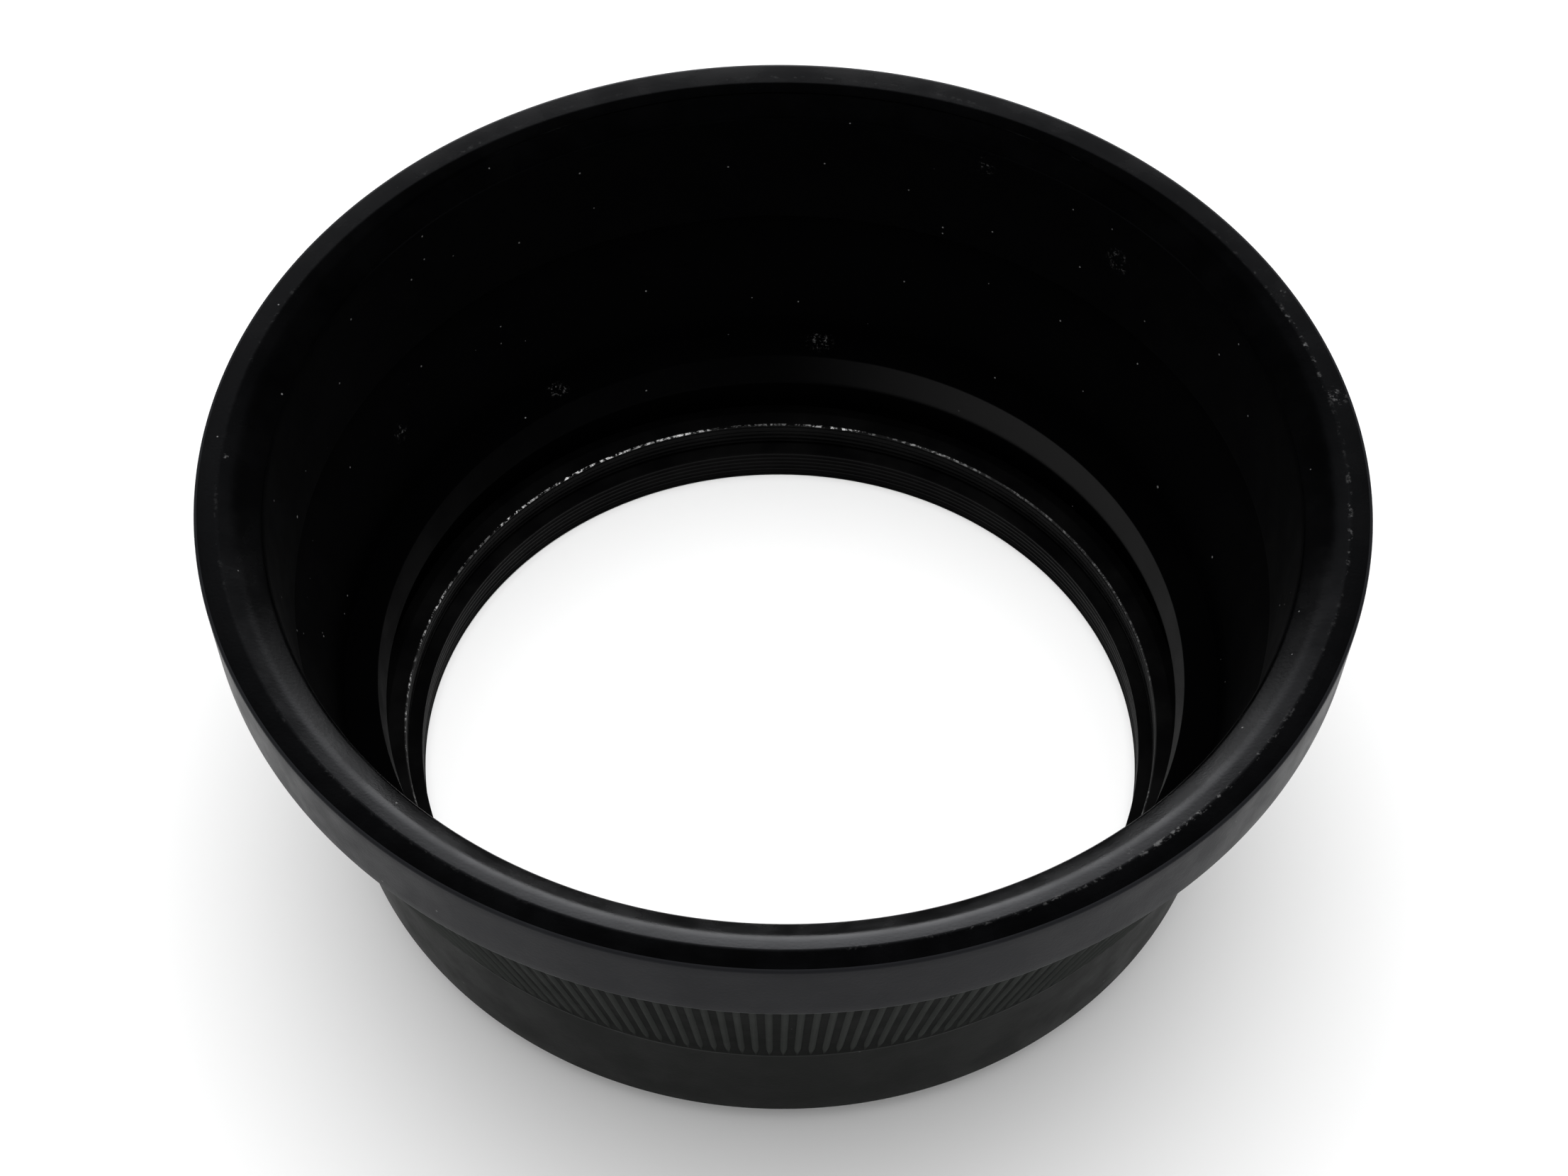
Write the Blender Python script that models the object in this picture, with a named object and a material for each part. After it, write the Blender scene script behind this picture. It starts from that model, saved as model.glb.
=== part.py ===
"""Collapsible rubber lens hood with a screw-in aluminium mount ring.

The hood stands on the thread's end face, mouth up. The origin is on the optical axis at that face,
and +Z runs up the light path. Sizes below are in millimetres; every radius is measured from the axis.

One rubber moulding is split at its two fold creases, because the three zones move differently:
the front section slides down over the base, the ribbed web between them turns over, and the base
sleeve stays on the metal. Two turned rings clamp the base sleeve's bead.
"""

import math

import bmesh
import bpy

MM = 0.001
FACETS = 120  # flats round every ring
GAP = 0.25  # clearance between pieces that touch in use
CREASE_GAP = 0.25  # air left where the moulding is split at a crease
ROUND_STEPS = 3  # straight runs in a rounded corner

# Stub for the 55 mm filter thread, plain at the thread's outside diameter.
THREAD_R = 27.5
THREAD_LEAD_IN = 0.4
SHOULDER_Z = 2.4
BORE_R = 26.5
EDGE_BREAK = 0.1  # chamfer on turned edges

# Metal rings above the shoulder.
COUNTERBORE_FLOOR_Z = 2.75
FLANGE_TOP_Z = 3.3
FLANGE_R = 30.4
RETAINER_BORE_R = 27.5
RETAINER_LEG_R = 27.9
RETAINER_FLANGE_R = 29.6
RETAINER_FLANGE_Z = 4.4
RETAINER_TOP_Z = 5.0

# Rubber base sleeve.
SLEEVE_FOOT_Z = 2.75
SLEEVE_FOOT_R = 31.85
SLEEVE_TOP_Z = 11.7
SLEEVE_TOP_R = 32.75
NECK_TOP_R = 28.9
NECK_FOOT_R = 28.5
NECK_ROUND = 0.75  # rounded foot of the neck
UNDERCUT_ROOF_Z = 8.2
UNDERCUT_R = 29.9
SLEEVE_CORNER = 0.3

# Cone that rises from the sleeve to the collar, and the two creases it folds at.
CONE_SLOPE = 0.3325  # outward run for each unit of height
WEB_FOOT_Z = SLEEVE_TOP_Z + CREASE_GAP
CREASE_Z = 22.2
WEB_TOP_Z = CREASE_Z - CREASE_GAP
WEB_WALL = 1.5  # thickness across the web, measured along a radius
WEB_FOOT_R = SLEEVE_TOP_R + CONE_SLOPE * CREASE_GAP

# Front section: collar outside, plain flared wall inside, rolled lip on top.
COLLAR_FOOT_Z = 27.45
COLLAR_FOOT_R = 38.65
COLLAR_TOP_R = 38.85
COLLAR_CORNER = 0.3
LIP_RIDGE_R = 37.3
LIP_RIDGE_Z = 32.85
LIP_OUTER_Z = 32.8
LIP_CORNER = 0.2
LIP_SHOULDER_R = 36.2  # where the slope inside the ridge turns steeper
LIP_SHOULDER_Z = 32.45
LIP_INNER_R = 34.8
LIP_INNER_Z = 31.2
LIP_INNER_ROUND = 0.3
MOUTH_CREASE_R = 33.5  # inner edge of the upper crease


def cone_radius(z):
    """Radius of the outer cone at height z."""
    return SLEEVE_TOP_R + CONE_SLOPE * (z - SLEEVE_TOP_Z)


def corner(centre, radius, start_deg, end_deg):
    """Points along a rounded corner, both ends included."""
    points = []
    for step in range(ROUND_STEPS + 1):
        angle = math.radians(start_deg + (end_deg - start_deg) * step / ROUND_STEPS)
        points.append((centre[0] + radius * math.cos(angle), centre[1] + radius * math.sin(angle)))
    return points


def material(name, colour, metallic, roughness):
    made = bpy.data.materials.new(name)
    made.use_nodes = True
    shader = made.node_tree.nodes["Principled BSDF"]
    shader.inputs["Base Color"].default_value = (*colour, 1.0)
    shader.inputs["Metallic"].default_value = metallic
    shader.inputs["Roughness"].default_value = roughness
    return made


def turned_ring(name, section, made_of):
    """A ring whose closed cross-section, in (radius, height), is swept once round the axis."""
    shape = bmesh.new()
    loop = [shape.verts.new((radius * MM, 0.0, height * MM)) for radius, height in section]
    edges = [shape.edges.new((loop[i - 1], loop[i])) for i in range(len(loop))]
    bmesh.ops.spin(
        shape,
        geom=loop + edges,
        cent=(0.0, 0.0, 0.0),
        axis=(0.0, 0.0, 1.0),
        angle=2 * math.pi,
        steps=FACETS,
        use_merge=True,
    )
    bmesh.ops.recalc_face_normals(shape, faces=shape.faces)
    for face in shape.faces:
        face.smooth = True
    mesh = bpy.data.meshes.new(name)
    shape.to_mesh(mesh)
    shape.free()
    ring = bpy.data.objects.new(name, mesh)
    ring.data.materials.append(made_of)
    bpy.context.scene.collection.objects.link(ring)
    return ring


def front_section_profile():
    """Lip, collar, and the part of the cone above the upper crease."""
    step_in = cone_radius(COLLAR_FOOT_Z)
    corner_centre = (COLLAR_TOP_R - LIP_CORNER, LIP_OUTER_Z - LIP_CORNER)
    return [
        (MOUTH_CREASE_R, CREASE_Z),
        (cone_radius(CREASE_Z), CREASE_Z),
        (step_in, COLLAR_FOOT_Z),
        (COLLAR_FOOT_R - COLLAR_CORNER, COLLAR_FOOT_Z),
        (COLLAR_FOOT_R, COLLAR_FOOT_Z + COLLAR_CORNER),
        *corner(corner_centre, LIP_CORNER, 0, 90),
        (LIP_RIDGE_R, LIP_RIDGE_Z),
        (LIP_SHOULDER_R, LIP_SHOULDER_Z),
        (LIP_INNER_R + LIP_INNER_ROUND / 2, LIP_INNER_Z + LIP_INNER_ROUND),
        (LIP_INNER_R, LIP_INNER_Z),
    ]


def web_profile():
    """The thin wall that turns over when the hood is pushed back."""
    return [
        (WEB_FOOT_R - WEB_WALL, WEB_FOOT_Z),
        (WEB_FOOT_R, WEB_FOOT_Z),
        (cone_radius(WEB_TOP_Z), WEB_TOP_Z),
        (cone_radius(WEB_TOP_Z) - WEB_WALL, WEB_TOP_Z),
    ]


def sleeve_profile():
    """Outer band, neck, undercut, and the bead between the two metal rings."""
    bead_r = RETAINER_LEG_R + GAP
    bead_foot_z = FLANGE_TOP_Z + GAP
    bead_top_z = RETAINER_FLANGE_Z - GAP
    neck_round_centre = (NECK_FOOT_R + NECK_ROUND, UNDERCUT_ROOF_Z + NECK_ROUND)
    return [
        (FLANGE_R + GAP, SLEEVE_FOOT_Z),
        (SLEEVE_FOOT_R - SLEEVE_CORNER, SLEEVE_FOOT_Z),
        (SLEEVE_FOOT_R, SLEEVE_FOOT_Z + SLEEVE_CORNER),
        (SLEEVE_TOP_R, SLEEVE_TOP_Z),
        (NECK_TOP_R + EDGE_BREAK, SLEEVE_TOP_Z),
        (NECK_TOP_R, SLEEVE_TOP_Z - EDGE_BREAK),
        *corner(neck_round_centre, NECK_ROUND, 180, 270),
        (UNDERCUT_R, UNDERCUT_ROOF_Z - SLEEVE_CORNER),
        (UNDERCUT_R, bead_top_z),
        (bead_r, bead_top_z),
        (bead_r, bead_foot_z),
        (FLANGE_R + GAP, bead_foot_z),
    ]


def mount_ring_profile():
    """Thread stub, shoulder that seats on the lens, flange under the rubber, and counterbore."""
    counterbore_r = RETAINER_LEG_R + GAP
    return [
        (BORE_R + EDGE_BREAK, 0.0),
        (THREAD_R - THREAD_LEAD_IN, 0.0),
        (THREAD_R, THREAD_LEAD_IN),
        (THREAD_R, SHOULDER_Z),
        (FLANGE_R, SHOULDER_Z),
        (FLANGE_R, FLANGE_TOP_Z - EDGE_BREAK),
        (FLANGE_R - EDGE_BREAK, FLANGE_TOP_Z),
        (counterbore_r, FLANGE_TOP_Z),
        (counterbore_r, COUNTERBORE_FLOOR_Z),
        (BORE_R + EDGE_BREAK, COUNTERBORE_FLOOR_Z),
        (BORE_R, COUNTERBORE_FLOOR_Z - EDGE_BREAK),
        (BORE_R, EDGE_BREAK),
    ]


def retaining_ring_profile():
    """L-shaped ring: its leg drops into the counterbore and its flange holds the bead down."""
    return [
        (RETAINER_BORE_R, COUNTERBORE_FLOOR_Z + GAP),
        (RETAINER_LEG_R, COUNTERBORE_FLOOR_Z + GAP),
        (RETAINER_LEG_R, RETAINER_FLANGE_Z),
        (RETAINER_FLANGE_R, RETAINER_FLANGE_Z),
        (RETAINER_FLANGE_R, RETAINER_TOP_Z - EDGE_BREAK),
        (RETAINER_FLANGE_R - EDGE_BREAK, RETAINER_TOP_Z),
        (RETAINER_BORE_R + EDGE_BREAK, RETAINER_TOP_Z),
        (RETAINER_BORE_R, RETAINER_TOP_Z - EDGE_BREAK),
    ]


for old in list(bpy.data.objects):
    bpy.data.objects.remove(old)

front_rubber = material("front_rubber", (0.018, 0.018, 0.019), 0.0, 0.55)
web_rubber = material("web_rubber", (0.018, 0.018, 0.019), 0.0, 0.6)
sleeve_rubber = material("sleeve_rubber", (0.018, 0.018, 0.019), 0.0, 0.55)
mount_metal = material("mount_metal", (0.03, 0.03, 0.032), 0.9, 0.35)
retainer_metal = material("retainer_metal", (0.03, 0.03, 0.032), 0.9, 0.35)

front_section = turned_ring("front_section", front_section_profile(), front_rubber)
turned_ring("ribbed_web", web_profile(), web_rubber)
turned_ring("base_sleeve", sleeve_profile(), sleeve_rubber)
turned_ring("mount_ring", mount_ring_profile(), mount_metal)
turned_ring("retaining_ring", retaining_ring_profile(), retainer_metal)

collapse_axis = bpy.data.objects.new("front_collapse_axis", None)
bpy.context.scene.collection.objects.link(collapse_axis)
front_section.parent = collapse_axis
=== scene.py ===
"""Looks for the collapsible rubber lens hood: a ribbed black rubber hood on a worn black metal mount.

Lengths are in millimetres in the frame's axes unless a name ends in _M, and radii are measured from the
optical axis. Azimuths are in degrees round that axis, where 0 is +X and 90 is +Y. Colours are linear.
"""

import math
from types import SimpleNamespace

import bpy
import numpy as np
from mathutils import Matrix, Vector


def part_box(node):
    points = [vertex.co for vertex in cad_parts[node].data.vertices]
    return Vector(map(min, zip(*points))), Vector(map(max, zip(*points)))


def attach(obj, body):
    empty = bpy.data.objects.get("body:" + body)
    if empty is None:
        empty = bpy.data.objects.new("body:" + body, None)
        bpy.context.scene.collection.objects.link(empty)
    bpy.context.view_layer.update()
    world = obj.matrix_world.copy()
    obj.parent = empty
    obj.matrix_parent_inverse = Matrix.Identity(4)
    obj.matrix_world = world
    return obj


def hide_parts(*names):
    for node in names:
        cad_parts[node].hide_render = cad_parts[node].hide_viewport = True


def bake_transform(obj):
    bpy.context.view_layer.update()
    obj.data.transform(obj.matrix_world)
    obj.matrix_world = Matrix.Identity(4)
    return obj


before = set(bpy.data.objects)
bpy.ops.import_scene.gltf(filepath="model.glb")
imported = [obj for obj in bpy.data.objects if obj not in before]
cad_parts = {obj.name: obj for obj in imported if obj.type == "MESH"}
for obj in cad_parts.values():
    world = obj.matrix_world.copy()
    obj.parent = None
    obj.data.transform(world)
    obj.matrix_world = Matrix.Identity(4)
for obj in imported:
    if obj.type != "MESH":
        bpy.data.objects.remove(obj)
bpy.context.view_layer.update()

MM = 0.001


def box_mm(node):
    """A CAD node's foot height, top height and outer radius."""
    low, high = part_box(node)
    return low.z / MM, high.z / MM, high.x / MM


CREASE_Z, RIDGE_Z, COLLAR_R = box_mm("front_section")
_, WEB_TOP_Z, WEB_TOP_R = box_mm("ribbed_web")
SLEEVE_FOOT_Z, SLEEVE_TOP_Z, SLEEVE_TOP_R = box_mm("base_sleeve")
THREAD_END_Z, FLANGE_TOP_Z, FLANGE_R = box_mm("mount_ring")
RETAINER_FOOT_Z, RETAINER_TOP_Z, RETAINER_R = box_mm("retaining_ring")

CONE_SLOPE = (WEB_TOP_R - SLEEVE_TOP_R) / (WEB_TOP_Z - SLEEVE_TOP_Z)

# Lip and collar.
RIDGE_R = COLLAR_R - 1.5
RIDGE_SHIFT = 0.65  # how much nearer the axis the ridge lies on the far side
RIDGE_SHIFT_DEPTH = 0.4  # the shift stops this far under the lip's edge
LIP_EDGE_Z = RIDGE_Z - 0.05
LIP_SHOULDER_R = COLLAR_R - 2.65
LIP_SHOULDER_Z = RIDGE_Z - 0.4
LIP_INNER_R = COLLAR_R - 4.4
LIP_INNER_Z = RIDGE_Z - 1.65
COLLAR_FOOT_Z = RIDGE_Z - 5.4
COLLAR_FOOT_R = COLLAR_R - 0.2
MOUTH_CREASE_R = 33.5

# Web and its ribs.
WEB_WALL = 1.5
RIB_COUNT = 234
RIB_WIDTH = 0.5
RIB_HEIGHT = 0.17
RIB_ROOT = 0.06  # how deep a rib is rooted in the cone
RIB_SHOULDER_AT = 0.27  # a rib's shoulders, as a share of its width from its middle
RIB_SHOULDER_HEIGHT = 0.68 * RIB_HEIGHT
RIB_FOOT_Z = SLEEVE_TOP_Z + 0.4
RIB_FOOT_FADE = 2.2  # the ribs sink into the cone over this height
RIB_FOOT_WIDTH = 0.25  # share of its width that a rib keeps at its foot
RIB_TOP_Z = COLLAR_FOOT_Z + 0.1  # the ribs end inside the collar
RIB_ROWS = 26

# Base sleeve.
SLEEVE_FOOT_R = SLEEVE_TOP_R - 0.9
SLEEVE_CLEARANCE = 0.25  # between the sleeve and the mount ring's flange
SLEEVE_INNER_R = FLANGE_R + SLEEVE_CLEARANCE
NECK_TOP_R = 28.9
NECK_FOOT_R = 28.5
NECK_FOOT_Z = 8.95
NECK_CORNER_Z = NECK_FOOT_Z - 0.3
UNDERCUT_LIP_R = NECK_FOOT_R + 0.8
UNDERCUT_ROOF_Z = 8.2
UNDERCUT_R = RETAINER_R + 0.3
BEAD_R = 28.15
BEAD_FOOT_Z = FLANGE_TOP_Z + SLEEVE_CLEARANCE
BEAD_TOP_Z = 4.15

# Metal rings.
BORE_R = 26.5
THREAD_R = 27.5
THREAD_PITCH = 0.75
THREAD_DEPTH = 0.4
THREAD_CREST = 0.12  # flat crest, as a share of half a pitch
THREAD_FLANK = 0.76  # sloping flank, as a share of half a pitch
THREAD_LEAD_IN = 0.45  # chamfer at the end of the stub
THREAD_RUNOUT_Z = 1.9
THREAD_RUNOUT = 0.3  # the thread fades out over this height
SHOULDER_Z = 2.4
COUNTERBORE_R = 28.15
COUNTERBORE_Z = 2.75
RETAINER_BORE_R = 27.5
RETAINER_LEG_R = 27.9
RETAINER_FLANGE_Z = 4.4
GROOVE_PITCH = 0.43
GROOVE_DEPTH = 0.06
GROOVE_ROUNDING = 0.7  # below 1 the valleys are wide and the crests narrow
BORE_GROOVES = (THREAD_END_Z + 0.3, COUNTERBORE_Z - 0.15)
RETAINER_GROOVES = (RETAINER_FOOT_Z + 0.1, RETAINER_TOP_Z - 0.25)

# Mesh.
FACETS = 480
SHARP_DEG = 38  # edges sharper than this aren't smoothed
METAL_STEP = 0.07  # short enough to carry the grooves and the thread
SKIN = 0.1  # a surface this far under the outside counts as inside
TOUCHING = 0.02  # points this near a bore's wall belong to it

# Colours and gloss of the rubber and the metal.
NO_TINT = (1.0, 1.0, 1.0)
COOL_TINT = (0.92, 0.95, 1.06)
MOSS_TINT = (0.95, 1.02, 0.96)
ANODISED_TINT = (1.0, 1.0, 1.1)
SATIN_COLOUR = 0.011
BASE_COLOUR = 0.0075
# painted shade: the cone between the ribs is painted darker than the base
GAP_PAINTED_SHADE_COLOUR = 0.0065
# painted highlight: the ribs are painted lighter than the rubber between them
RIB_PAINTED_HIGHLIGHT_COLOUR = 0.023
INSIDE_COLOUR = 0.0005
LIP_COLOUR = 0.0003
# painted light: the paler colour of the neck's wall on the side where light falls
NECK_PAINTED_LIGHT_COLOUR = 0.015
# scuffs on the lip's ridge, lightened partly as a painted highlight
SCUFF_AND_HIGHLIGHT_COLOUR = 0.09
DUST_COLOUR = 0.14
SMUDGE_COLOUR = 0.07
ANODISED_COLOUR = 0.0012
STAINED_COLOUR = 0.003
BARE_METAL_COLOUR = 0.9
BARE_METAL_SHARE = 0.3  # how metallic the bare edge looks
RUBBED_GAIN = 1.35  # handled patches are this much lighter
CONE_SPECULAR = 0.004
BASE_SPECULAR = 0.022

# Wear and marks left by handling, and the sides that carry painted highlight and painted light. Each mark
# is its azimuth, radius, height and size.
# side where the lip's scuffed line carries a painted highlight
SCUFF_AND_HIGHLIGHT_AZIMUTH = -10
# side of the neck's wall that is painted paler, as painted light
NECK_PAINTED_LIGHT_AZIMUTH = 10
WORN_AZIMUTH = 122
MARK_CORE = 0.2  # the full middle of a mark, as a share of its size
WALL_SMUDGES = [
    (65, 34.6, 30.0, 1.0),
    (45, 34.2, 27.5, 1.3),
    (150, 32.4, 16.5, 1.0),
]
LEDGE_SMUDGES = [
    (85, 30.5, SLEEVE_TOP_Z, 1.3),
    (125, 30.5, SLEEVE_TOP_Z, 1.0),
]
LIP_NICKS = [
    (180, 37.0, RIDGE_Z, 0.4),
    (25, 38.0, RIDGE_Z, 0.5),
    (10, 38.0, RIDGE_Z, 1.0),
    (305, 36.5, RIDGE_Z, 0.6),
]

# Floor and light. The walls are strengths of the backdrop that only reflections see.
FLOOR_HALF_M = 3.0
FLOOR_ALBEDO = 0.88
FLOOR_MOTTLE = 0.99  # the floor's darker patches against its lighter ones
FRONT_LIGHT = 0.9
BACK_LIGHT = 2.4
TOP_LIGHT = 0.9
LEFT_LIGHT = 0.75
RIGHT_LIGHT = 0.6
HORIZON_LIGHT = 0.35
FRONT_WALL = 0.6
BACK_WALL = 7.0
HAZE = 1.1
LAMP_HEIGHT_M = 0.5
LAMP_RADIUS_M = 0.004
LAMP_SPREAD = 8.4
LAMP_BLEND = 0.35
LAMP_WATTS = 3.6

# Camera, in degrees where a length isn't meant.
CAMERA_DISTANCE = 197.9  # from the middle of the lip
CAMERA_ELEVATION = 49.8
CAMERA_DIP = 2.4  # further down than the lip's middle
CAMERA_ROLL = 0.77
CAMERA_TURN = -0.05
LENS_MM = 68.5
SENSOR_MM = 36.0
NEAR_CLIP_M = 0.01


def cone_radius(height):
    """Radius of the outer cone, without its ribs."""
    return SLEEVE_TOP_R + CONE_SLOPE * (height - SLEEVE_TOP_Z)


# -------------------------------------------------------------------------------- mesh building


def outline(corners, longest=2.0, arc_steps=5):
    """Closed outline through (radius, height, rounding) corners, with no straight run over `longest`."""
    points = []
    count = len(corners)
    for i, (radius, height, rounding) in enumerate(corners):
        here = np.array((radius, height))
        if rounding == 0:
            points.append(here)
            continue
        before = np.array(corners[i - 1][:2]) - here
        after = np.array(corners[(i + 1) % count][:2]) - here
        start = here + before / np.linalg.norm(before) * rounding
        end = here + after / np.linalg.norm(after) * rounding
        for t in np.linspace(0, 1, arc_steps + 1):
            points.append((1 - t) ** 2 * start + 2 * t * (1 - t) * here + t**2 * end)
    filled = []
    for here, after in zip(points, points[1:] + points[:1], strict=True):
        pieces = max(1, math.ceil(np.linalg.norm(after - here) / longest))
        filled.extend(here + (after - here) * step / pieces for step in range(pieces))
    return np.array(filled)


def lathe(section, shape=None):
    """(points, quads) of a section swept round the axis.

    shape(radius, height, angle) may move each point.
    """
    angle = np.arange(FACETS) * 2 * math.pi / FACETS
    radius, theta = np.meshgrid(section[:, 0], angle, indexing="ij")
    height = np.repeat(section[:, 1:], FACETS, axis=1)
    if shape:
        radius, height = shape(radius, height, theta)
    points = np.stack([radius * np.cos(theta), radius * np.sin(theta), height], axis=-1).reshape(-1, 3)
    row, column = np.meshgrid(np.arange(len(section)), np.arange(FACETS), indexing="ij")
    next_row = (row + 1) % len(section)
    next_column = (column + 1) % FACETS
    quads = np.stack(
        [
            row * FACETS + column,
            row * FACETS + next_column,
            next_row * FACETS + next_column,
            next_row * FACETS + column,
        ],
        axis=-1,
    )
    return points, quads.reshape(-1, 4)


def ribs(foot_z, top_z, rows, tapered_foot):
    """(points, quads) of raised ribs that run up the cone, each a rounded bar rooted in it.

    With a tapered foot, each rib grows out of the cone in height and width over RIB_FOOT_FADE.
    """
    across = np.array([-0.5, -RIB_SHOULDER_AT, 0.0, RIB_SHOULDER_AT, 0.5, 0.0]) * RIB_WIDTH
    raised = np.array(
        [-RIB_ROOT, RIB_SHOULDER_HEIGHT, RIB_HEIGHT, RIB_SHOULDER_HEIGHT, -RIB_ROOT, -RIB_ROOT]
    )
    heights = np.linspace(foot_z, top_z, rows)
    fade = np.ones(rows)
    if tapered_foot:
        fade = np.clip((heights - foot_z) / RIB_FOOT_FADE, 0.0, 1.0)
    lift = np.outer(fade, np.where(raised > 0, raised, 0)) + np.where(raised < 0, raised, 0)
    radius = cone_radius(heights)[:, None] + lift
    width = RIB_FOOT_WIDTH + (1 - RIB_FOOT_WIDTH) * fade
    spread = np.outer(width, across) / SLEEVE_TOP_R
    one_rib = len(across) * rows
    ring, row = np.meshgrid(np.arange(len(across)), np.arange(rows - 1), indexing="xy")
    after = (ring + 1) % len(across)
    sides = np.stack(
        [
            row * len(across) + ring,
            row * len(across) + after,
            (row + 1) * len(across) + after,
            (row + 1) * len(across) + ring,
        ],
        axis=-1,
    ).reshape(-1, 4)
    points, quads = [], []
    for rib in range(RIB_COUNT):
        theta = 2 * math.pi * rib / RIB_COUNT + spread
        x, y = radius * np.cos(theta), radius * np.sin(theta)
        z = np.repeat(heights[:, None], len(across), axis=1)
        points.append(np.stack([x, y, z], axis=-1).reshape(-1, 3))
        quads.append(sides + rib * one_rib)
    return np.concatenate(points), np.concatenate(quads)


def piece(name, parts, materials):
    """One object from (points, quads, material index) parts, smooth except across sharp edges."""
    points, quads, slots, first = [], [], [], 0
    for some_points, some_quads, slot in parts:
        points.append(some_points)
        quads.append(some_quads + first)
        slots.append(np.broadcast_to(slot, len(some_quads)))
        first += len(some_points)
    mesh = bpy.data.meshes.new(name)
    mesh.from_pydata((np.concatenate(points) * MM).tolist(), [], np.concatenate(quads).tolist())
    mesh.polygons.foreach_set("material_index", np.concatenate(slots).astype(np.int32))
    for made_of in materials:
        mesh.materials.append(made_of)
    mesh.shade_smooth()
    mesh.set_sharp_from_angle(angle=math.radians(SHARP_DEG))
    mesh.update()
    made = bpy.data.objects.new(name, mesh)
    bpy.context.scene.collection.objects.link(made)
    return made


def rows_where(section, test):
    """True for each quad of the lathe whose section run satisfies test(middle radius, middle height)."""
    middle = (section + np.roll(section, -1, axis=0)) / 2
    return np.repeat([bool(test(radius, height)) for radius, height in middle], FACETS)


# -------------------------------------------------------------------------------- materials


def node(tree, kind, inputs=None, **settings):
    """A new node. inputs gives each socket a value or another node's output; settings are attributes."""
    made = tree.nodes.new(kind)
    for key, value in settings.items():
        setattr(made, key, value)
    for key, value in (inputs or {}).items():
        if isinstance(value, bpy.types.NodeSocket):
            tree.links.new(value, made.inputs[key])
        else:
            made.inputs[key].default_value = value
    return made


def math_node(tree, operation, first, second=0.0, third=0.0):
    made = node(tree, "ShaderNodeMath", {0: first, 1: second, 2: third}, operation=operation)
    return made.outputs[0]


def remap(tree, value, low, high, to_low=0.0, to_high=1.0):
    """value carried smoothly from low..high to to_low..to_high, and held at the ends."""
    made = node(
        tree,
        "ShaderNodeMapRange",
        {"Value": value, "From Min": low, "From Max": high, "To Min": to_low, "To Max": to_high},
        interpolation_type="SMOOTHSTEP",
    )
    return made.outputs["Result"]


def noise(tree, where, cell_mm, detail=3.0, roughness=0.5):
    """Cloudy noise from 0 to 1, with lumps about cell_mm across."""
    made = node(
        tree,
        "ShaderNodeTexNoise",
        {"Vector": where, "Scale": 1 / (cell_mm * MM), "Detail": detail, "Roughness": roughness},
    )
    return made.outputs["Fac"]


def specks(tree, where, cell_mm, size, share):
    """1 on small round specks: one in each cell, kept in `share` of the cells."""
    cells = node(tree, "ShaderNodeTexVoronoi", {"Vector": where, "Scale": 1 / (cell_mm * MM)})
    spot = remap(tree, cells.outputs["Distance"], size, size * 0.5)
    chance = node(tree, "ShaderNodeSeparateColor", {"Color": cells.outputs["Color"]}).outputs["Red"]
    kept = math_node(tree, "LESS_THAN", chance, share)
    return math_node(tree, "MULTIPLY", spot, kept)


def blend_colour(tree, share, first, second):
    """first where share is 0, second where it is 1."""
    made = node(tree, "ShaderNodeMix", {"Factor": share, "A": first, "B": second}, data_type="RGBA")
    return made.outputs["Result"]


def rgb(value, tint=NO_TINT):
    """A grey of this value, tinted."""
    return (value * tint[0], value * tint[1], value * tint[2], 1.0)


def start_material(name, roughness, specular):
    """A new material, its node tree, its shader node and its object coordinates."""
    made = bpy.data.materials.new(name)
    made.use_nodes = True
    tree = made.node_tree
    shader = tree.nodes["Principled BSDF"]
    shader.inputs["Roughness"].default_value = roughness
    shader.inputs["Specular IOR Level"].default_value = specular
    where = node(tree, "ShaderNodeTexCoord").outputs["Object"]
    return made, tree, shader, where


def axis_radius(tree, where):
    """Distance from the optical axis in metres, and the node that splits the place into X, Y and Z."""
    split = node(tree, "ShaderNodeSeparateXYZ", {"Vector": where})
    flat = node(tree, "ShaderNodeCombineXYZ", {"X": split.outputs["X"], "Y": split.outputs["Y"]})
    length = node(tree, "ShaderNodeVectorMath", {0: flat.outputs[0]}, operation="LENGTH")
    return length.outputs["Value"], split


def marks(tree, where, places):
    """1 on smudges with ragged edges, each at (azimuth, radius, height, size)."""
    ragged = remap(tree, noise(tree, where, cell_mm=0.3, detail=4.0, roughness=0.75), low=0.54, high=0.66)
    total = None
    for azimuth_deg, radius, height, size in places:
        angle = math.radians(azimuth_deg)
        centre = (radius * math.cos(angle) * MM, radius * math.sin(angle) * MM, height * MM)
        away = node(tree, "ShaderNodeVectorMath", {0: where, 1: centre}, operation="DISTANCE")
        spot = remap(tree, away.outputs["Value"], low=size * MM, high=MARK_CORE * size * MM)
        total = math_node(tree, "MAXIMUM", total, spot) if total else spot
    return math_node(tree, "MULTIPLY", total, ragged)


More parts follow.
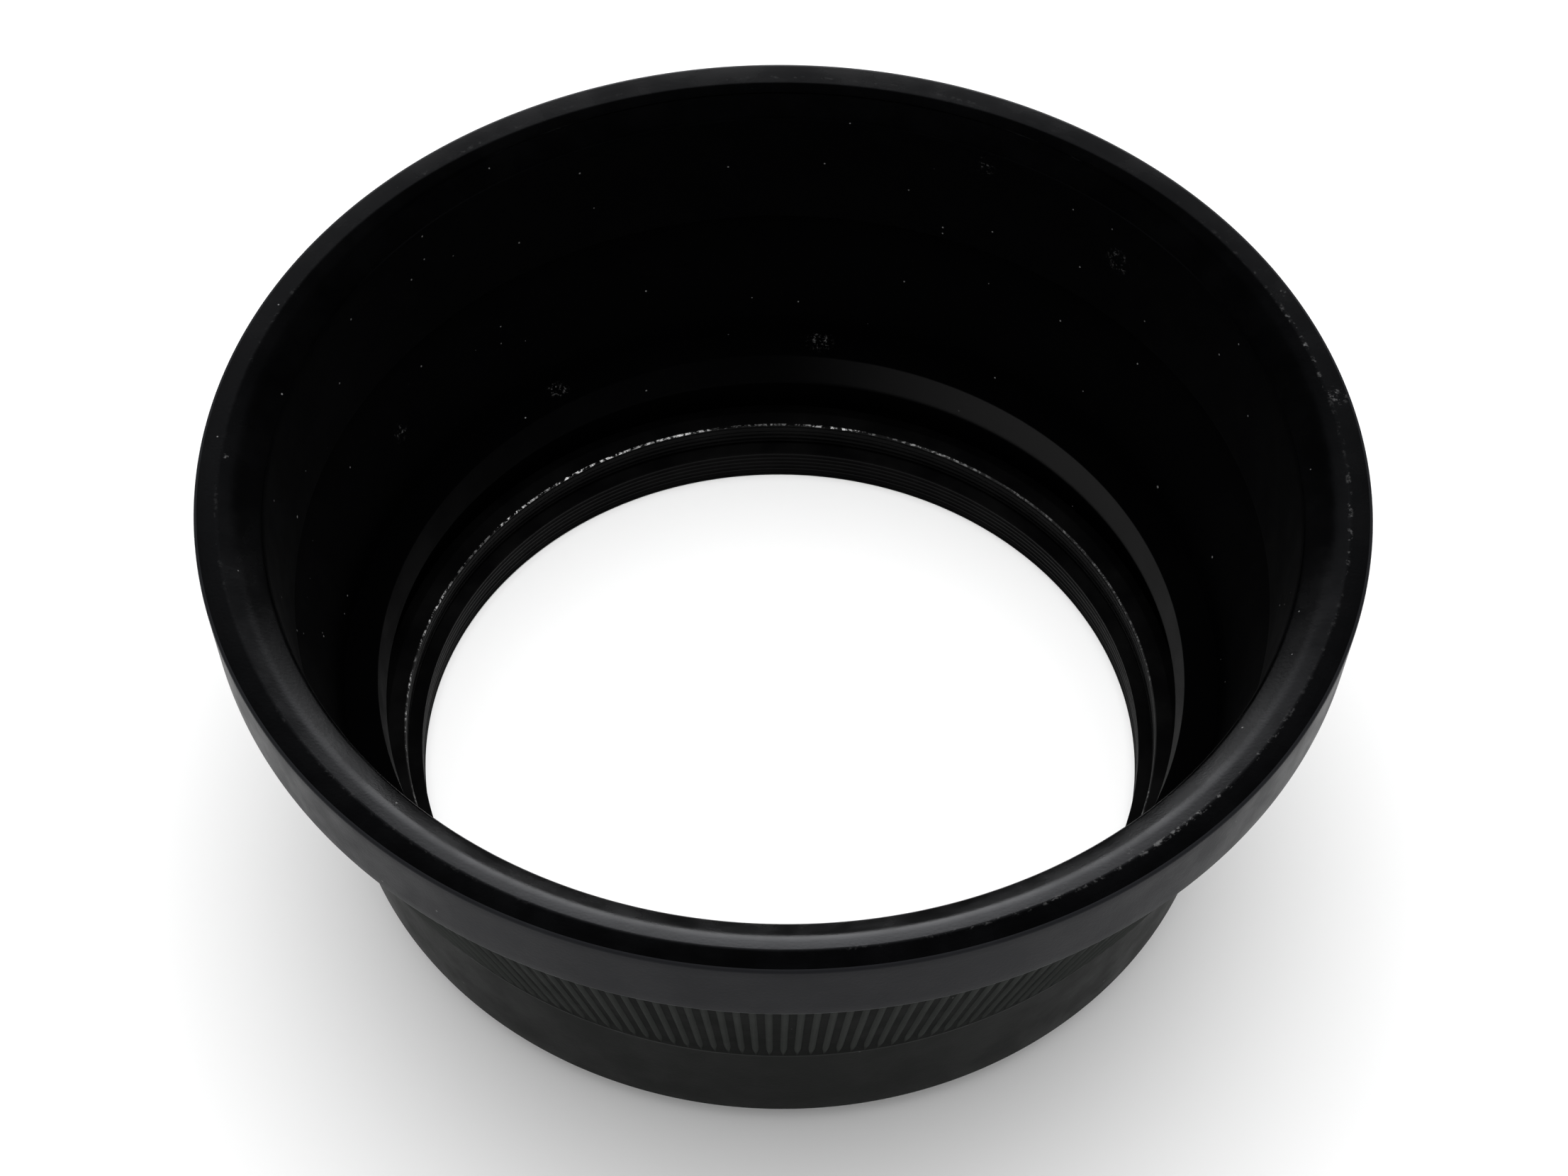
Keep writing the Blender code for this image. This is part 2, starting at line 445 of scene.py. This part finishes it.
def rubber(name, colour, tint, roughness, specular, dust, grain_bump, smudges=()):
    """Moulded black rubber: fine grain, mottled gloss, lighter patches from handling, smudges, and dust."""
    made, tree, shader, where = start_material(name, roughness, specular)
    shader.inputs["Specular Tint"].default_value = rgb(1.0, tint)
    grain = noise(tree, where, cell_mm=0.22, detail=2.0)
    mottle = noise(tree, where, cell_mm=3.5, detail=4.0, roughness=0.6)
    patches = noise(tree, where, cell_mm=14.0, detail=5.0, roughness=0.6)
    rubbed = remap(tree, patches, low=0.5, high=0.72)
    fine_dust = specks(tree, where, cell_mm=0.9, size=0.1, share=0.06 * dust)
    coarse_dust = specks(tree, where, cell_mm=3.4, size=0.04, share=0.16 * dust)
    dusty = math_node(tree, "MAXIMUM", fine_dust, coarse_dust)
    base = blend_colour(tree, rubbed, rgb(colour, tint), rgb(colour * RUBBED_GAIN, tint))
    base = blend_colour(tree, dusty, base, rgb(DUST_COLOUR))
    if smudges:
        base = blend_colour(tree, marks(tree, where, smudges), base, rgb(SMUDGE_COLOUR))
    tree.links.new(base, shader.inputs["Base Color"])
    gloss = remap(tree, mottle, low=0.3, high=0.7, to_low=roughness - 0.05, to_high=roughness + 0.06)
    tree.links.new(math_node(tree, "MAXIMUM", gloss, dusty), shader.inputs["Roughness"])
    height = math_node(tree, "ADD", grain, math_node(tree, "MULTIPLY", dusty, 1.5))
    bump = node(tree, "ShaderNodeBump", {"Height": height, "Strength": grain_bump, "Distance": 0.02 * MM})
    tree.links.new(bump.outputs["Normal"], shader.inputs["Normal"])
    return SimpleNamespace(material=made, tree=tree, shader=shader, where=where, colour=base)


def recolour(look, share, first, second):
    """Gives a rubber the colour first, or second where share is 1, and returns its material."""
    mixed = blend_colour(look.tree, share, first, second)
    look.tree.links.new(mixed, look.shader.inputs["Base Color"])
    return look.material


def facing(tree, split, radius, azimuth_deg):
    """Cosine of the angle round the axis between a point and an azimuth."""
    angle = math.radians(azimuth_deg)
    along_y = math_node(tree, "MULTIPLY", split.outputs["Y"], math.sin(angle))
    along = math_node(tree, "MULTIPLY_ADD", split.outputs["X"], math.cos(angle), along_y)
    return math_node(tree, "DIVIDE", along, radius)


def product(tree, *values):
    """All the values multiplied together."""
    total = values[0]
    for value in values[1:]:
        total = math_node(tree, "MULTIPLY", total, value)
    return total


def lip_rubber():
    """The lip's glossier black rubber, with a scuffed, dashed line along its ridge: the scuffs are wear,
    and the line's lightness, strongest on one side, is partly a painted highlight.
    """
    look = rubber(
        "lip_rubber",
        LIP_COLOUR,
        COOL_TINT,
        roughness=0.25,
        specular=0.08,
        dust=0.8,
        grain_bump=0.25,
        smudges=LIP_NICKS,
    )
    tree, where = look.tree, look.where
    radius, split = axis_radius(tree, where)
    off_ridge = math_node(tree, "ABSOLUTE", math_node(tree, "SUBTRACT", radius, RIDGE_R * MM))
    on_ridge = remap(tree, off_ridge, low=0.22 * MM, high=0.04 * MM)
    dashes = remap(tree, noise(tree, where, cell_mm=0.5, detail=3.0, roughness=0.7), low=0.52, high=0.66)
    patches = noise(tree, where, cell_mm=16.0, detail=2.0)
    patchy = remap(tree, patches, low=0.42, high=0.6, to_low=0.1, to_high=1.0)
    # Painted highlight: the scuffed line is painted brighter towards one side, where light catches the
    # ridge.
    side = facing(tree, split, radius, SCUFF_AND_HIGHLIGHT_AZIMUTH)
    scuffed_and_lit_side = remap(tree, side, low=0.35, high=0.9, to_low=0.12, to_high=1.0)
    worn = product(tree, on_ridge, dashes, patchy, scuffed_and_lit_side)
    return recolour(look, worn, look.colour, rgb(SCUFF_AND_HIGHLIGHT_COLOUR))


def cone_rubber(name, colour):
    """Rubber on the ribbed cone, made in a lighter copy for the ribs (painted highlight) and a darker one
    for the gaps (painted shade); it comes down to the base's colour where the ribs sink in.
    """
    look = rubber(
        name, colour, MOSS_TINT, roughness=0.5, specular=CONE_SPECULAR, dust=0.3, grain_bump=0.3
    )
    height = node(look.tree, "ShaderNodeSeparateXYZ", {"Vector": look.where}).outputs["Z"]
    full_z = RIB_FOOT_Z + RIB_FOOT_FADE
    above_foot = remap(look.tree, height, low=RIB_FOOT_Z * MM, high=full_z * MM)
    return recolour(look, above_foot, rgb(BASE_COLOUR, MOSS_TINT), look.colour)


def neck_rubber_painted_light():
    """The black rubber inside the base, with painted light on the neck's wall: its colour is paler towards
    one side, where light falls on it.
    """
    look = rubber(
        "neck_rubber_painted_light",
        INSIDE_COLOUR,
        COOL_TINT,
        roughness=0.55,
        specular=0.007,
        dust=0.3,
        grain_bump=0.3,
        smudges=LEDGE_SMUDGES,
    )
    tree = look.tree
    radius, split = axis_radius(tree, look.where)
    height = split.outputs["Z"]
    above_foot = remap(tree, height, low=(NECK_FOOT_Z - 0.2) * MM, high=(NECK_FOOT_Z + 0.3) * MM)
    below_ledge = remap(tree, height, low=(SLEEVE_TOP_Z - 0.05) * MM, high=(SLEEVE_TOP_Z - 0.2) * MM)
    on_wall = product(tree, above_foot, below_ledge)
    # Painted light: the wall is painted paler towards one side, where light falls on it.
    painted_lit_side = remap(tree, facing(tree, split, radius, NECK_PAINTED_LIGHT_AZIMUTH), low=0.1, high=0.85)
    painted_light = product(tree, on_wall, painted_lit_side)
    return recolour(look, painted_light, look.colour, rgb(NECK_PAINTED_LIGHT_COLOUR))


def worn_edge(tree, where):
    """1 on bare metal at the top of the retaining ring's bore: dashes, and elsewhere a faint line."""
    radius, split = axis_radius(tree, where)
    top_z = RETAINER_TOP_Z
    near_top = remap(tree, split.outputs["Z"], low=(top_z - 0.16) * MM, high=(top_z - 0.09) * MM)
    near_bore = remap(tree, radius, low=(RETAINER_BORE_R + 0.13) * MM, high=(RETAINER_BORE_R + 0.07) * MM)
    edge = product(tree, near_top, near_bore)
    side = facing(tree, split, radius, WORN_AZIMUTH)
    bright_side = remap(tree, side, low=0.4, high=0.9, to_low=0.16, to_high=1.0)
    chips = remap(tree, noise(tree, where, cell_mm=0.45, detail=4.0, roughness=0.75), low=0.48, high=0.6)
    lengths = noise(tree, where, cell_mm=5.0, detail=3.0)
    stretches = remap(tree, lengths, low=0.36, high=0.6, to_low=0.1, to_high=1.0)
    dashes = product(tree, chips, stretches, bright_side)
    thin_line = remap(tree, side, low=0.85, high=0.4, to_low=0.0, to_high=0.014)
    return math_node(tree, "MULTIPLY", edge, math_node(tree, "MAXIMUM", dashes, thin_line))


def anodised(name, specular, worn):
    """Black anodised aluminium. Where worn, its top inner edge is bright metal in dashes."""
    made, tree, shader, where = start_material(name, roughness=0.34, specular=specular)
    scratch = noise(tree, where, cell_mm=0.12, detail=3.0)
    stain = remap(tree, noise(tree, where, cell_mm=4.0, detail=4.0), low=0.35, high=0.75)
    base = blend_colour(tree, stain, rgb(ANODISED_COLOUR, ANODISED_TINT), rgb(STAINED_COLOUR))
    if worn:
        bare = worn_edge(tree, where)
        base = blend_colour(tree, bare, base, rgb(BARE_METAL_COLOUR))
        tree.links.new(math_node(tree, "MULTIPLY", bare, BARE_METAL_SHARE), shader.inputs["Metallic"])
    tree.links.new(base, shader.inputs["Base Color"])
    gloss = remap(tree, scratch, low=0.3, high=0.7, to_low=0.3, to_high=0.42)
    tree.links.new(gloss, shader.inputs["Roughness"])
    bump = node(tree, "ShaderNodeBump", {"Height": scratch, "Strength": 0.15, "Distance": 0.01 * MM})
    tree.links.new(bump.outputs["Normal"], shader.inputs["Normal"])
    return made


satin_rubber = rubber(
    "satin_rubber", SATIN_COLOUR, COOL_TINT, roughness=0.36, specular=0.04, dust=0.7, grain_bump=0.4
).material
base_rubber = rubber(
    "base_rubber", BASE_COLOUR, MOSS_TINT, roughness=0.42, specular=BASE_SPECULAR, dust=0.5, grain_bump=0.4
).material
# Painted shade: a darker copy of the cone's rubber for the gaps between the ribs.
gap_rubber_painted_shade = cone_rubber("gap_rubber_painted_shade", GAP_PAINTED_SHADE_COLOUR)
# Painted highlight: a lighter copy of the cone's rubber for the ribs.
rib_rubber_painted_highlight = cone_rubber("rib_rubber_painted_highlight", RIB_PAINTED_HIGHLIGHT_COLOUR)
matte_rubber = rubber(
    "matte_rubber",
    INSIDE_COLOUR,
    COOL_TINT,
    roughness=0.85,
    specular=0.02,
    dust=1.5,
    grain_bump=0.4,
    smudges=WALL_SMUDGES,
).material
neck = neck_rubber_painted_light()
ridge_rubber = lip_rubber()
retainer_metal = anodised("retainer_metal", specular=0.04, worn=True)
mount_metal = anodised("mount_metal", specular=0.015, worn=False)

# Places of the rubbers in a rubber piece's list of materials.
OUTSIDE, INSIDE, LIP, RIB, NECK, BASE, GAP = range(7)
RUBBERS = [satin_rubber, matte_rubber, ridge_rubber, rib_rubber_painted_highlight, neck, base_rubber, gap_rubber_painted_shade]

# -------------------------------------------------------------------------------- rubber pieces


def lip_shape(radius, height, angle):
    """The moulding isn't quite even: on the far side the ridge lies a little nearer the axis."""
    near_ridge = np.clip(1 - np.abs(radius - RIDGE_R) / (COLLAR_R - RIDGE_R), 0, 1)
    on_top = height > LIP_EDGE_Z - RIDGE_SHIFT_DEPTH
    far_side = np.clip(np.sin(angle), 0, 1) ** 2
    return radius - RIDGE_SHIFT * near_ridge * on_top * far_side, height


def build_front():
    """Lip, collar, and the ribbed cone above the upper crease."""
    section = outline(
        [
            (MOUTH_CREASE_R, CREASE_Z, 0.15),
            (cone_radius(CREASE_Z), CREASE_Z, 0),
            (cone_radius(COLLAR_FOOT_Z), COLLAR_FOOT_Z, 0.12),
            (COLLAR_FOOT_R, COLLAR_FOOT_Z, 0.28),
            (COLLAR_R, LIP_EDGE_Z, 0.22),
            (RIDGE_R, RIDGE_Z, 0.12),
            (LIP_SHOULDER_R, LIP_SHOULDER_Z, 0.45),
            (LIP_INNER_R, LIP_INNER_Z, 0.4),
        ],
        longest=0.8,
    )
    points, quads = lathe(section, shape=lip_shape)
    off_the_outside = rows_where(section, lambda r, z: r < min(cone_radius(z), COLLAR_FOOT_R) - SKIN)
    above_the_mouth = rows_where(section, lambda r, z: z > LIP_INNER_Z)
    below_the_collar = rows_where(section, lambda r, z: z < COLLAR_FOOT_Z)
    slots = np.select(
        [off_the_outside & above_the_mouth, off_the_outside, below_the_collar], [LIP, INSIDE, GAP], OUTSIDE
    )
    rib_points, rib_quads = ribs(CREASE_Z, RIB_TOP_Z, rows=2, tapered_foot=False)
    made = piece("front_section_rubber", [(points, quads, slots), (rib_points, rib_quads, RIB)], RUBBERS)
    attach(made, "front")
    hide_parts("front_section")


def build_web():
    """The ribbed wall between the creases, where the hood folds; it is built in place and attached to no
    body.
    """
    section = outline(
        [
            (SLEEVE_TOP_R - WEB_WALL, SLEEVE_TOP_Z, 0),
            (SLEEVE_TOP_R, SLEEVE_TOP_Z, 0),
            (cone_radius(CREASE_Z), CREASE_Z, 0),
            (cone_radius(CREASE_Z) - WEB_WALL, CREASE_Z, 0),
        ],
        longest=0.4,
    )
    points, quads = lathe(section)
    inside = rows_where(section, lambda r, z: r < cone_radius(z) - SKIN)
    ribbed = rows_where(section, lambda r, z: z > RIB_FOOT_Z)
    slots = np.select([inside, ribbed], [INSIDE, GAP], BASE)
    rib_points, rib_quads = ribs(RIB_FOOT_Z, CREASE_Z, RIB_ROWS, tapered_foot=True)
    made = piece("web_rubber", [(points, quads, slots), (rib_points, rib_quads, RIB)], RUBBERS)
    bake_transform(made)
    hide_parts("ribbed_web")


def build_sleeve():
    """Smooth band outside, and inside it the neck, the undercut and the clamped bead."""
    section = outline(
        [
            (SLEEVE_INNER_R, SLEEVE_FOOT_Z, 0.08),
            (SLEEVE_FOOT_R, SLEEVE_FOOT_Z, 0.2),
            (SLEEVE_TOP_R, SLEEVE_TOP_Z, 0),
            (NECK_TOP_R, SLEEVE_TOP_Z, 0.1),
            (NECK_FOOT_R, NECK_CORNER_Z, 0.45),
            (UNDERCUT_LIP_R, UNDERCUT_ROOF_Z, 0.35),
            (UNDERCUT_R, UNDERCUT_ROOF_Z, 0.2),
            (UNDERCUT_R, BEAD_TOP_Z, 0.1),
            (BEAD_R, BEAD_TOP_Z, 0.08),
            (BEAD_R, BEAD_FOOT_Z, 0.08),
            (SLEEVE_INNER_R, BEAD_FOOT_Z, 0.1),
        ]
    )
    points, quads = lathe(section)
    band_r = FLANGE_R + 2 * SLEEVE_CLEARANCE
    outside = rows_where(section, lambda r, z: r > band_r and z < SLEEVE_TOP_Z - 0.05)
    made = piece("sleeve_rubber", [(points, quads, np.where(outside, BASE, NECK))], RUBBERS)
    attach(made, "mount")
    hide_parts("base_sleeve")


# -------------------------------------------------------------------------------- metal pieces


def groove(height, first_z):
    """Depth of the turned grooves at this height, rounded valleys between narrow crests."""
    return GROOVE_DEPTH * np.abs(np.sin(math.pi * (height - first_z) / GROOVE_PITCH)) ** GROOVE_ROUNDING


def between(height, limits):
    """True where the height is inside the limits."""
    return (height > limits[0]) & (height < limits[1])


def mount_shape(radius, height, angle):
    """Grooves in the bore, and a right-hand thread on the stub."""
    in_bore = (radius < BORE_R + TOUCHING) & between(height, BORE_GROOVES)
    radius = radius + np.where(in_bore, groove(height, THREAD_END_Z), 0)
    turns = height / THREAD_PITCH - angle / (2 * math.pi)
    from_crest = np.abs(turns - np.round(turns)) * 2
    valley = np.clip((from_crest - THREAD_CREST) / THREAD_FLANK, 0, 1)
    on_stub = (radius > THREAD_R - THREAD_LEAD_IN) & (height < SHOULDER_Z - 0.05)
    end_fade = np.clip((THREAD_RUNOUT_Z + THREAD_RUNOUT - height) / THREAD_RUNOUT, 0, 1)
    cut = THREAD_DEPTH * np.where(end_fade > 0, valley * end_fade + (1 - end_fade), 1.0)
    lead_in = np.clip((THREAD_LEAD_IN - height) / THREAD_LEAD_IN, 0, 1) * THREAD_LEAD_IN
    cut = np.maximum(cut, lead_in)
    return np.where(on_stub, THREAD_R - cut, radius), height


def retainer_shape(radius, height, angle):
    """Grooves in the bore."""
    in_bore = (radius < RETAINER_BORE_R + TOUCHING) & between(height, RETAINER_GROOVES)
    return radius + np.where(in_bore, groove(height, RETAINER_FOOT_Z), 0), height


def build_mount_ring():
    """Thread stub, shoulder, flange under the rubber, and counterbore."""
    section = outline(
        [
            (BORE_R, THREAD_END_Z, 0.1),
            (THREAD_R, THREAD_END_Z, 0),
            (THREAD_R, SHOULDER_Z, 0),
            (FLANGE_R, SHOULDER_Z, 0.12),
            (FLANGE_R, FLANGE_TOP_Z, 0.12),
            (COUNTERBORE_R, FLANGE_TOP_Z, 0.06),
            (COUNTERBORE_R, COUNTERBORE_Z, 0),
            (BORE_R, COUNTERBORE_Z, 0.1),
        ],
        longest=METAL_STEP,
        arc_steps=3,
    )
    made = piece("mount_ring_metal", [(*lathe(section, shape=mount_shape), 0)], [mount_metal])
    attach(made, "mount")
    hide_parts("mount_ring")


def build_retaining_ring():
    """L-shaped ring that clamps the rubber bead."""
    section = outline(
        [
            (RETAINER_BORE_R, RETAINER_FOOT_Z, 0.05),
            (RETAINER_LEG_R, RETAINER_FOOT_Z, 0.05),
            (RETAINER_LEG_R, RETAINER_FLANGE_Z, 0),
            (RETAINER_R, RETAINER_FLANGE_Z, 0.08),
            (RETAINER_R, RETAINER_TOP_Z, 0.1),
            (RETAINER_BORE_R, RETAINER_TOP_Z, 0.12),
        ],
        longest=METAL_STEP,
        arc_steps=3,
    )
    made = piece("retaining_ring_metal", [(*lathe(section, shape=retainer_shape), 0)], [retainer_metal])
    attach(made, "mount")
    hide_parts("retaining_ring")


build_front()
build_web()
build_sleeve()
build_mount_ring()
build_retaining_ring()

# -------------------------------------------------------------------------------- stage, light and camera


def build_floor():
    """White paper, with hardly visible patches."""
    mesh = bpy.data.meshes.new("floor")
    corners = [(-1, -1), (1, -1), (1, 1), (-1, 1)]
    mesh.from_pydata([(x * FLOOR_HALF_M, y * FLOOR_HALF_M, 0.0) for x, y in corners], [], [(0, 1, 2, 3)])
    paper, tree, shader, where = start_material("white_paper", roughness=0.7, specular=0.2)
    shade = remap(tree, noise(tree, where, cell_mm=30.0, detail=3.0), low=0.3, high=0.7)
    colour = blend_colour(tree, shade, rgb(FLOOR_ALBEDO), rgb(FLOOR_ALBEDO * FLOOR_MOTTLE))
    tree.links.new(colour, shader.inputs["Base Color"])
    mesh.materials.append(paper)
    floor = bpy.data.objects.new("floor", mesh)
    bpy.context.scene.collection.objects.link(floor)


def build_sky():
    """White to the camera, soft light on the scene, and a backdrop that only reflections see.

    across, depth and height are the parts of a direction along X, Y and Z. The backdrop is brightest low
    down behind the hood, with haze above it, and has a weaker low wall in front.
    """
    world = bpy.data.worlds.new("studio")
    bpy.context.scene.world = world
    world.use_nodes = True
    tree = world.node_tree
    tree.nodes.clear()
    direction = node(tree, "ShaderNodeTexCoord").outputs["Generated"]
    split = node(tree, "ShaderNodeSeparateXYZ", {"Vector": direction})
    across, depth, height = split.outputs["X"], split.outputs["Y"], split.outputs["Z"]

    overhead = remap(tree, height, low=0.5, high=1.0, to_low=0.0, to_high=TOP_LIGHT)
    around = product(
        tree,
        remap(tree, depth, low=-0.2, high=0.7, to_low=FRONT_LIGHT, to_high=BACK_LIGHT),
        remap(tree, height, low=0.0, high=0.7, to_low=HORIZON_LIGHT, to_high=1.0),
        remap(tree, across, low=-0.3, high=-0.9, to_low=1.0, to_high=LEFT_LIGHT),
        remap(tree, across, low=0.3, high=0.9, to_low=1.0, to_high=RIGHT_LIGHT),
    )
    shone = math_node(tree, "ADD", around, overhead)

    sideways = math_node(tree, "ABSOLUTE", across)
    narrow = remap(tree, sideways, low=0.12, high=0.5, to_low=1.0, to_high=0.01)
    behind = product(tree, remap(tree, depth, low=0.2, high=0.5), narrow)
    low_wall = remap(tree, height, low=0.52, high=0.3)
    haze_edge = remap(tree, height, low=0.88, high=0.68)
    haze_side = remap(tree, across, low=-0.4, high=0.4, to_low=1.15, to_high=0.65)
    haze = product(tree, haze_edge, haze_side, HAZE)
    back = math_node(tree, "MULTIPLY_ADD", low_wall, BACK_WALL, haze)
    front_edge = remap(tree, height, low=0.5, high=0.2)
    front_wall = remap(tree, depth, low=0.1, high=-0.2, to_low=0.0, to_high=FRONT_WALL)
    front = product(tree, front_edge, front_wall)
    reflected = math_node(tree, "MULTIPLY_ADD", behind, back, front)

    ray = node(tree, "ShaderNodeLightPath")
    seen, lit, mirrored = (
        node(tree, "ShaderNodeBackground", {"Color": rgb(1.0), "Strength": strength})
        for strength in (1.0, shone, reflected)
    )
    unseen = node(
        tree,
        "ShaderNodeMixShader",
        {0: ray.outputs["Is Glossy Ray"], 1: lit.outputs[0], 2: mirrored.outputs[0]},
    )
    shown = node(
        tree,
        "ShaderNodeMixShader",
        {0: ray.outputs["Is Camera Ray"], 1: unseen.outputs[0], 2: seen.outputs[0]},
    )
    node(tree, "ShaderNodeOutputWorld", {"Surface": shown.outputs[0]})


def build_lamp_down_the_hood():
    """Soft lamp straight above, so that the floor seen through the hood is as white as outside it."""
    lamp = bpy.data.lights.new("lamp_above", "SPOT")
    lamp.energy = LAMP_WATTS
    lamp.shadow_soft_size = LAMP_RADIUS_M
    lamp.spot_size = math.radians(LAMP_SPREAD)
    lamp.spot_blend = LAMP_BLEND
    holder = bpy.data.objects.new("lamp_above", lamp)
    holder.location = (0, 0, LAMP_HEIGHT_M)
    holder.visible_glossy = False
    bpy.context.scene.collection.objects.link(holder)


def build_camera():
    """Camera in front of the hood and above it, aimed a little below the lip's middle."""
    camera_data = bpy.data.cameras.new("camera")
    camera_data.lens = LENS_MM
    camera_data.sensor_width = SENSOR_MM
    camera_data.clip_start = NEAR_CLIP_M
    camera = bpy.data.objects.new("camera", camera_data)
    elevation = math.radians(CAMERA_ELEVATION)
    away = CAMERA_DISTANCE * math.cos(elevation)
    above = CAMERA_DISTANCE * math.sin(elevation)
    position = Vector((0, -away, RIDGE_Z + above)) * MM
    pitch = math.radians(90 - CAMERA_ELEVATION - CAMERA_DIP)
    turn = Matrix.Rotation(math.radians(CAMERA_TURN), 4, "Z") @ Matrix.Rotation(pitch, 4, "X")
    turn = turn @ Matrix.Rotation(math.radians(CAMERA_ROLL), 4, "Z")
    camera.matrix_world = Matrix.Translation(position) @ turn
    bpy.context.scene.collection.objects.link(camera)
    bpy.context.scene.camera = camera


build_floor()
build_sky()
build_lamp_down_the_hood()
build_camera()
bpy.context.scene.view_settings.view_transform = "Standard"
